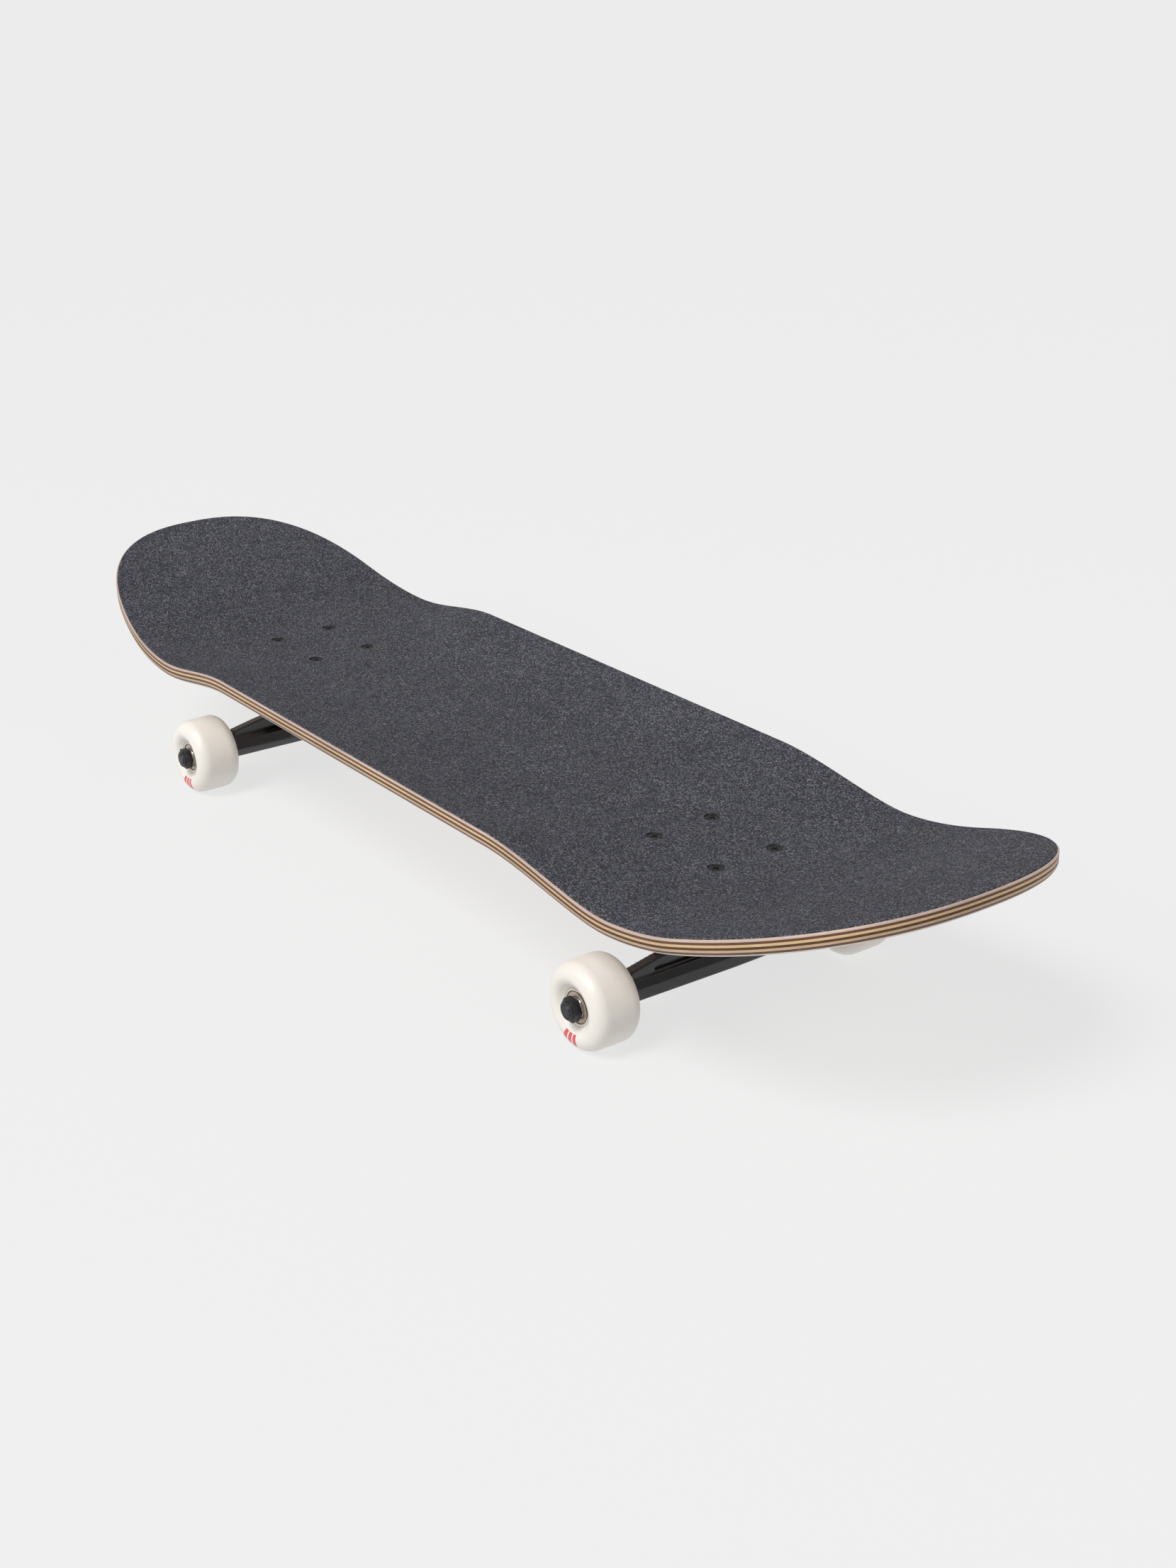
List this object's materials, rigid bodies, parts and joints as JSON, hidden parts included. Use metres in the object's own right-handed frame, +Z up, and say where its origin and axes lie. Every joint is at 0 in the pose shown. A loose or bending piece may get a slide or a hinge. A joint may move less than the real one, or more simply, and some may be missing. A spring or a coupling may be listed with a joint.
{
  "type": "skateboard",
  "caption": "Complete street skateboard: kicked, concave laminated deck with grip tape, two sprung steering trucks and small cream wheels on ball bearings.",
  "frame": {"origin": "on the floor plane, under the middle of the overall box", "axes": "+X along the board towards the nose, +Y to the rider's left looking at the nose, +Z up; wheels stand on z = 0"},
  "size_m": [0.8404, 0.2226, 0.1373],
  "materials": {
    "ply_pink": "sealed dyed maple veneer",
    "ply_dark": "sealed dyed maple veneer",
    "ply_natural": "sealed natural maple veneer",
    "ply_pale": "lacquered maple veneer",
    "grip": "coarse grit",
    "truck_paint": "gloss black paint over cast metal",
    "black_steel": "black oxide, satin",
    "zinc_steel": "zinc plated, satin",
    "bearing_steel": "ground and polished",
    "shield": "satin, warm grey",
    "urethane": "smooth cast urethane",
    "bushing": "smooth cast urethane",
    "nylon": "moulded, matt"
  },
  "bodies": {
    "deck": {"ply_1": "ply_pink", "ply_2": "ply_dark", "ply_3": "ply_natural", "ply_4": "ply_dark", "ply_5": "ply_natural", "ply_6": "ply_dark", "ply_7": "ply_pale", "grip_tape": "grip", "front_mounting_bolts": "black_steel", "front_mounting_nuts": "zinc_steel", "front_baseplate": "truck_paint", "front_pivot_cup": "nylon", "front_kingpin": "black_steel", "front_kingpin_nut": "zinc_steel", "front_board_washer": "zinc_steel", "front_board_bushing": "bushing", "front_road_bushing": "bushing", "front_road_washer": "zinc_steel", "rear_mounting_bolts": "black_steel", "rear_mounting_nuts": "zinc_steel", "rear_baseplate": "truck_paint", "rear_pivot_cup": "nylon", "rear_kingpin": "black_steel", "rear_kingpin_nut": "zinc_steel", "rear_board_washer": "zinc_steel", "rear_board_bushing": "bushing", "rear_road_bushing": "bushing", "rear_road_washer": "zinc_steel"},
    "front_truck": {"front_hanger": "truck_paint", "front_axle": "black_steel", "front_axle_nuts": "black_steel", "front_speed_washers": "zinc_steel", "front_left_bearing_inner_rings": "bearing_steel", "front_left_bearing_spacer": "zinc_steel", "front_right_bearing_inner_rings": "bearing_steel", "front_right_bearing_spacer": "zinc_steel"},
    "rear_truck": {"rear_hanger": "truck_paint", "rear_axle": "black_steel", "rear_axle_nuts": "black_steel", "rear_speed_washers": "zinc_steel", "rear_left_bearing_inner_rings": "bearing_steel", "rear_left_bearing_spacer": "zinc_steel", "rear_right_bearing_inner_rings": "bearing_steel", "rear_right_bearing_spacer": "zinc_steel"},
    "front_left_wheel_body": {"front_left_wheel": "urethane", "front_left_bearing_outer_rings": "bearing_steel", "front_left_bearing_shields": "shield"},
    "front_left_cage_body": {"front_left_balls_and_cages": "bearing_steel"},
    "front_right_wheel_body": {"front_right_wheel": "urethane", "front_right_bearing_outer_rings": "bearing_steel", "front_right_bearing_shields": "shield"},
    "front_right_cage_body": {"front_right_balls_and_cages": "bearing_steel"},
    "rear_left_wheel_body": {"rear_left_wheel": "urethane", "rear_left_bearing_outer_rings": "bearing_steel", "rear_left_bearing_shields": "shield"},
    "rear_left_cage_body": {"rear_left_balls_and_cages": "bearing_steel"},
    "rear_right_wheel_body": {"rear_right_wheel": "urethane", "rear_right_bearing_outer_rings": "bearing_steel", "rear_right_bearing_shields": "shield"},
    "rear_right_cage_body": {"rear_right_balls_and_cages": "bearing_steel"}
  },
  "joints": [
    {"name": "front_steer", "type": "hinge", "parent": "deck", "child": "front_truck", "pos_m": [0.2412, 0, 0.0609], "axis": [0.8944, 0, 0.4472], "range_deg": [-14, 14], "stiffness_Nm_per_rad": 90, "deforming": ["front_board_bushing", "front_road_bushing"]},
    {"name": "rear_steer", "type": "hinge", "parent": "deck", "child": "rear_truck", "pos_m": [-0.2474, 0, 0.0609], "axis": [-0.8944, 0, 0.4472], "range_deg": [-14, 14], "stiffness_Nm_per_rad": 90, "deforming": ["rear_board_bushing", "rear_road_bushing"]},
    {"name": "front_left_spin", "type": "hinge", "parent": "front_truck", "child": "front_left_wheel_body", "pos_m": [0.226, 0.0919, 0.0255], "axis": [0, 1, 0], "continuous": true},
    {"name": "front_left_cage_spin", "type": "hinge", "parent": "front_truck", "child": "front_left_cage_body", "pos_m": [0.226, 0.0919, 0.0255], "axis": [0, 1, 0], "continuous": true},
    {"name": "front_right_spin", "type": "hinge", "parent": "front_truck", "child": "front_right_wheel_body", "pos_m": [0.226, -0.0919, 0.0255], "axis": [0, 1, 0], "continuous": true},
    {"name": "front_right_cage_spin", "type": "hinge", "parent": "front_truck", "child": "front_right_cage_body", "pos_m": [0.226, -0.0919, 0.0255], "axis": [0, 1, 0], "continuous": true},
    {"name": "rear_left_spin", "type": "hinge", "parent": "rear_truck", "child": "rear_left_wheel_body", "pos_m": [-0.2322, 0.0919, 0.0255], "axis": [0, 1, 0], "continuous": true},
    {"name": "rear_left_cage_spin", "type": "hinge", "parent": "rear_truck", "child": "rear_left_cage_body", "pos_m": [-0.2322, 0.0919, 0.0255], "axis": [0, 1, 0], "continuous": true},
    {"name": "rear_right_spin", "type": "hinge", "parent": "rear_truck", "child": "rear_right_wheel_body", "pos_m": [-0.2322, -0.0919, 0.0255], "axis": [0, 1, 0], "continuous": true},
    {"name": "rear_right_cage_spin", "type": "hinge", "parent": "rear_truck", "child": "rear_right_cage_body", "pos_m": [-0.2322, -0.0919, 0.0255], "axis": [0, 1, 0], "continuous": true}
  ],
  "couplings": [
    {"joint": "front_left_cage_spin", "follows": "front_left_spin", "ratio": 0.6323},
    {"joint": "front_right_cage_spin", "follows": "front_right_spin", "ratio": 0.6323},
    {"joint": "rear_left_cage_spin", "follows": "rear_left_spin", "ratio": 0.6323},
    {"joint": "rear_right_cage_spin", "follows": "rear_right_spin", "ratio": 0.6323}
  ]
}
